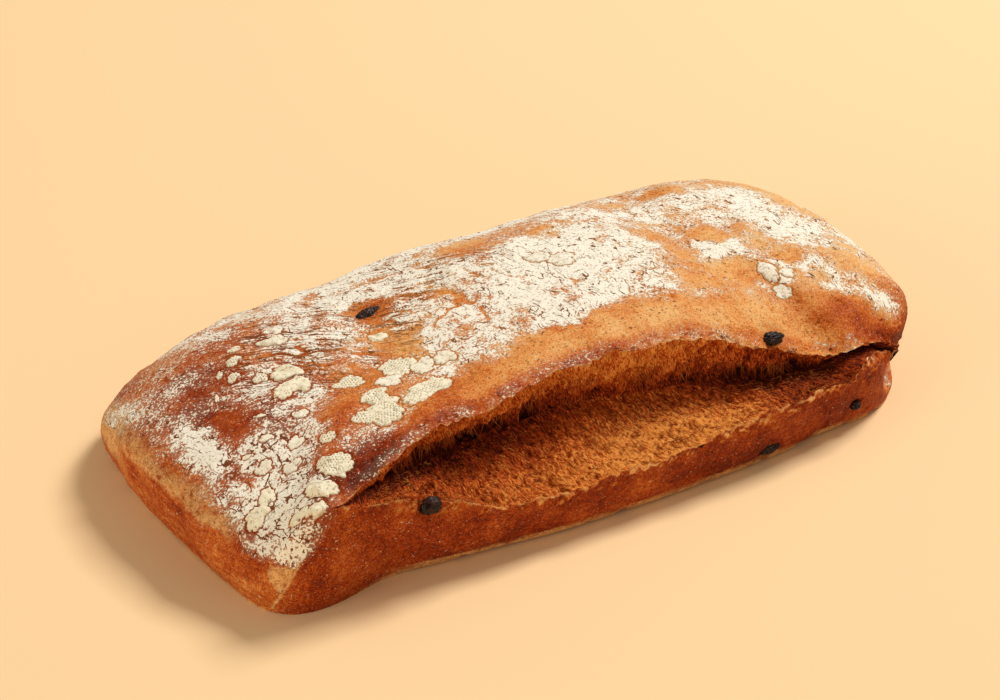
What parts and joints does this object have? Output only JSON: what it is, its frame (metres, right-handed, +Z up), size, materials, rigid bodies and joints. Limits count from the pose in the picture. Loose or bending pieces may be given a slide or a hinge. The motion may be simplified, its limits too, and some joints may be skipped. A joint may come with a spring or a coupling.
{
  "type": "bread loaf",
  "caption": "Pillow-shaped tomato ciabatta, floured on top, its long front side torn open over a browned crumb, with dark dried tomato pieces set in the crust",
  "frame": {"origin": "centre of the flat base", "axes": "+X runs along the loaf to the end where the crust is paler, +Y points to the closed back side so the torn side faces -Y, +Z is up"},
  "size_m": [0.2842, 0.1575, 0.0617],
  "materials": {
    "crust": "matt baked crust dusted with flour",
    "dried_tomato": "dark, slightly shiny dried tomato skin"
  },
  "bodies": {
    "root": {"loaf": "crust", "tomato_piece_lower_lip": "dried_tomato", "tomato_piece_upper_lip": "dried_tomato", "tomato_piece_base_edge": "dried_tomato", "tomato_piece_top": "dried_tomato", "tomato_piece_side": "dried_tomato"}
  },
  "joints": []
}
